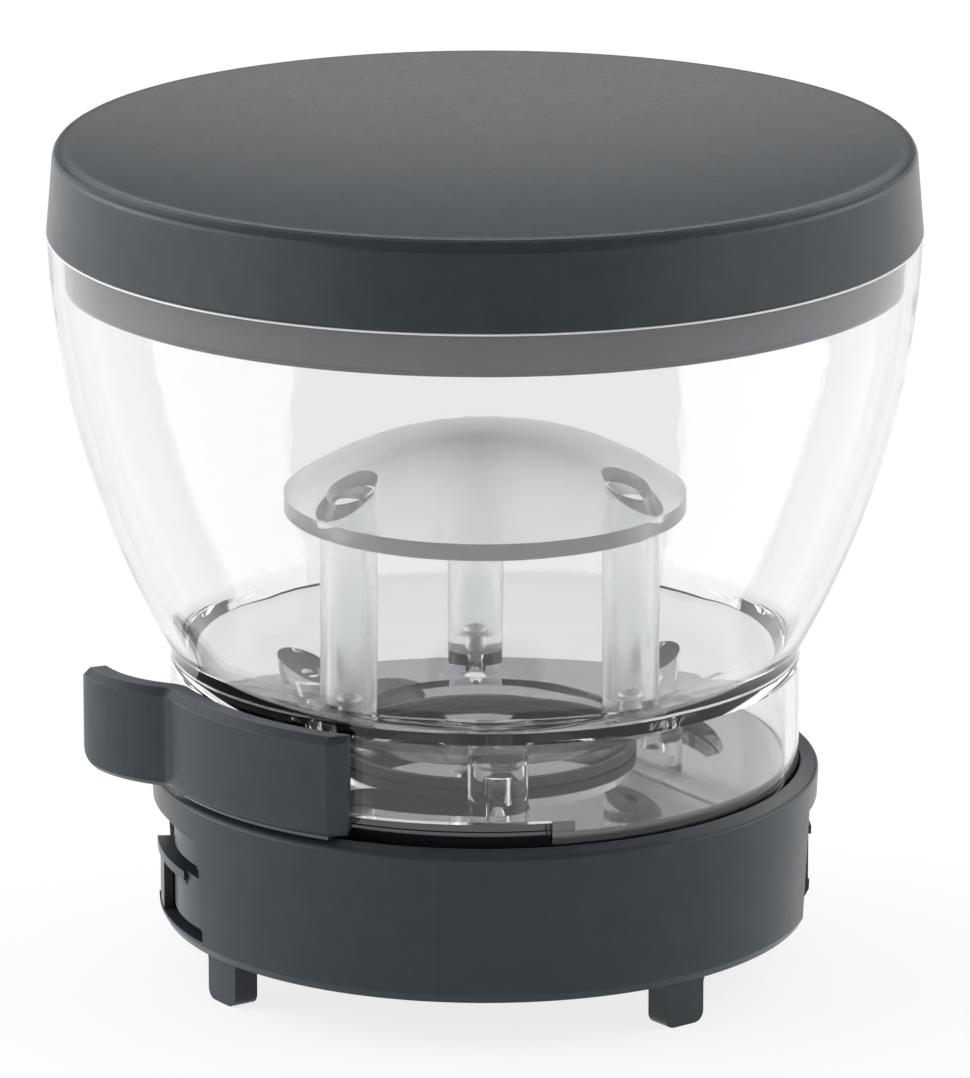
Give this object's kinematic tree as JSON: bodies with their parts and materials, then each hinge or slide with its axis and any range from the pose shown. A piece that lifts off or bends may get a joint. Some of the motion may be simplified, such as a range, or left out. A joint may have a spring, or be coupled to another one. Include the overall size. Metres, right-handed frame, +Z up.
{
  "type": "coffee grinder bean hopper",
  "caption": "Clear round bean hopper for a coffee grinder, with a dished dark lid, domed finger guard, shut-off lever and a dark bayonet base ring on short feet.",
  "frame": {"origin": "on the hopper's axis, in the plane of the four feet", "axes": "+Z up along the hopper's axis, -Y to the front, -X to the side with the lever's tab"},
  "size_m": [0.19, 0.19, 0.1831],
  "materials": {
    "dark_plastic": "fine satin grain",
    "plug_plastic": "smooth satin",
    "black_gloss": "polished",
    "pale_plastic": "smooth",
    "clear_plastic": "clear and polished",
    "frosted_plastic": "frosted",
    "soft_rubber": "matte",
    "steel": "bright zinc"
  },
  "bodies": {
    "hopper": {"base_ring": "dark_plastic", "collar_gasket": "soft_rubber", "base_screws": "steel", "base_washers": "steel", "throat_plate": "black_gloss", "neck_gasket": "soft_rubber", "pivot_spring": "steel", "pivot_washer": "steel", "pivot_screw": "steel", "hopper_bowl": "clear_plastic", "throat_seal": "soft_rubber", "finger_guard": "frosted_plastic", "guard_screws": "steel"},
    "gate": {"gate_disc": "black_gloss", "gate_bush": "pale_plastic", "gate_lever": "dark_plastic", "lever_screws": "steel"},
    "lid": {"lid_cover": "dark_plastic", "lid_plug": "plug_plastic", "lid_seal": "soft_rubber"}
  },
  "joints": [
    {"name": "gate_turn", "type": "hinge", "parent": "hopper", "child": "gate", "pos_m": [0, 0, 0.0448], "axis": [0, 0, 1], "range_deg": [0, 36]},
    {"name": "lid_lift", "type": "slide", "parent": "hopper", "child": "lid", "axis": [0, 0, 1], "range_m": [0, 0.08]}
  ]
}
